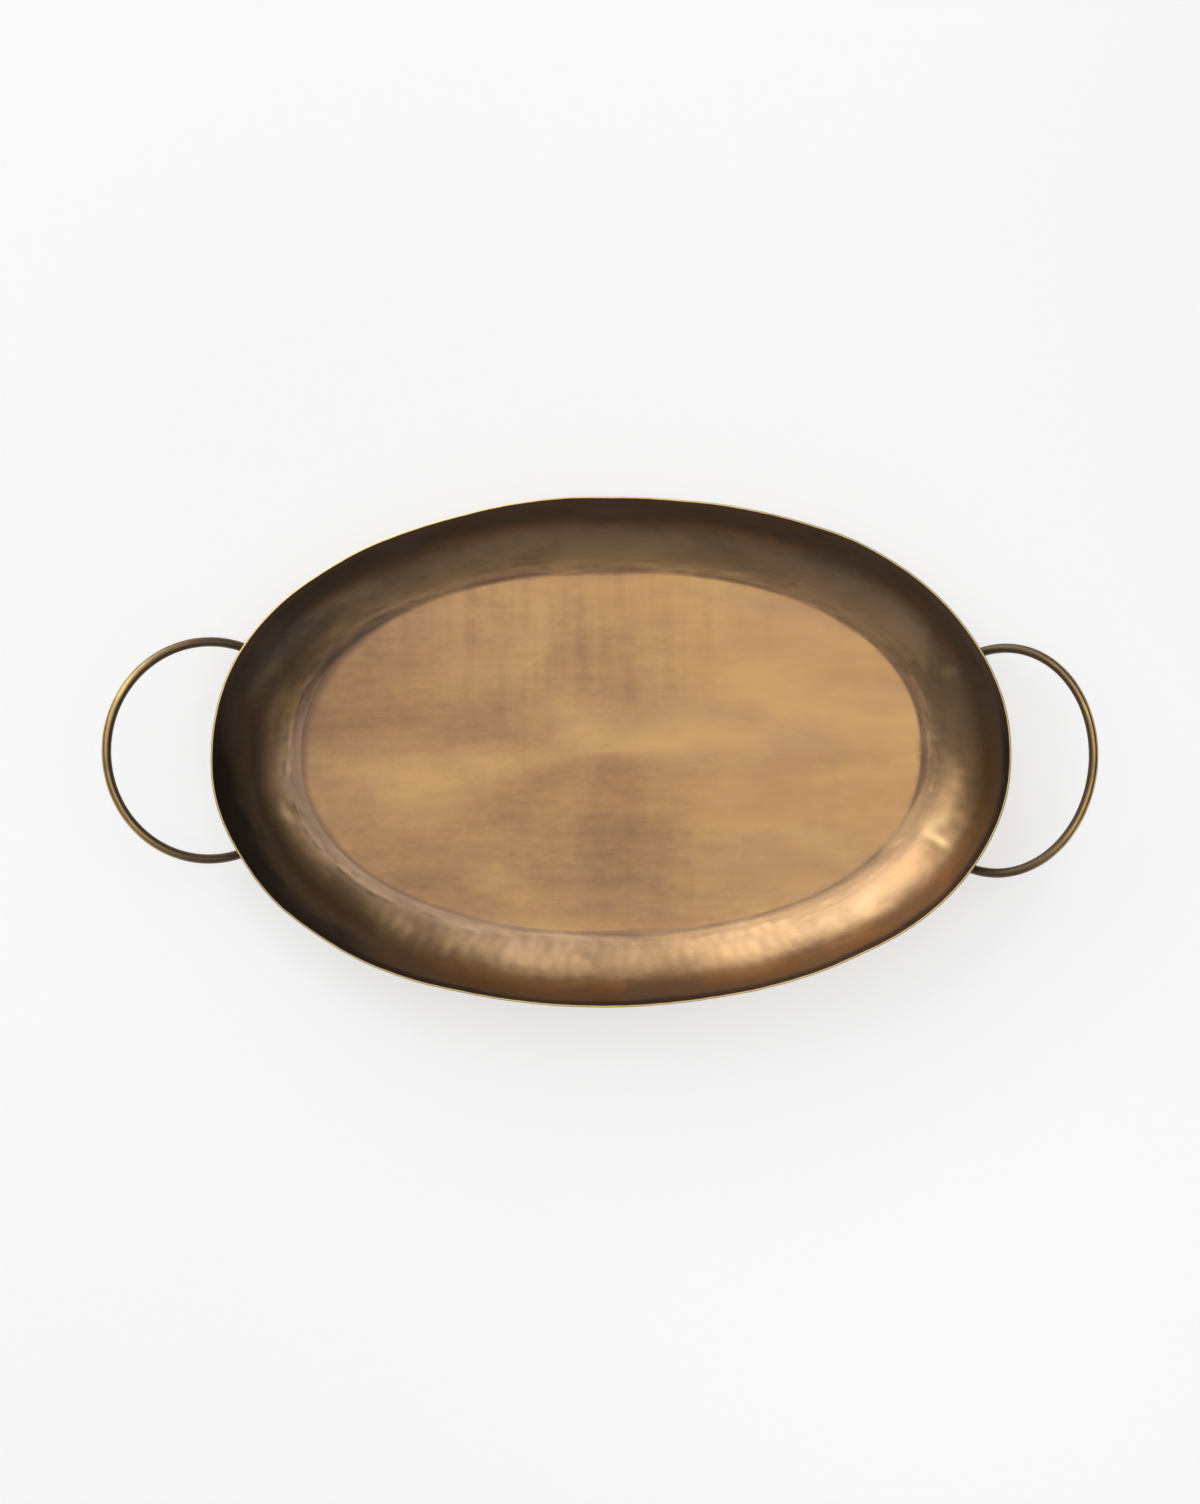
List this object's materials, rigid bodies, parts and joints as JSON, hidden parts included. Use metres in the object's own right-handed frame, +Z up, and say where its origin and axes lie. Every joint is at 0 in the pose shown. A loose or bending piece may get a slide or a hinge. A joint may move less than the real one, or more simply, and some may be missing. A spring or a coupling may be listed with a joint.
{
  "type": "oval serving tray",
  "caption": "Shallow oval serving tray in aged brass, with a flat floor, a curved wall and a round-rod loop handle brazed under each end.",
  "frame": {"origin": "centre of the whole tray's box in plan, at the underside it stands on", "axes": "+X along the length, from the larger loop to the smaller loop; +Y across; +Z up, out of the tray's mouth"},
  "size_m": [0.6242, 0.3208, 0.0529],
  "materials": {
    "pan_brass": "aged brass, brushed on the floor and hammered on the wall, with a brown-black patina towards the rim",
    "handle_brass": "aged brass rod with dark patina, rubbed bright where hands touch",
    "braze": "brazing brass, file marked and darkened"
  },
  "bodies": {
    "root": {"pan": "pan_brass", "left_handle": "handle_brass", "right_handle": "handle_brass", "left_back_braze": "braze", "left_front_braze": "braze", "right_back_braze": "braze", "right_front_braze": "braze"}
  },
  "joints": []
}
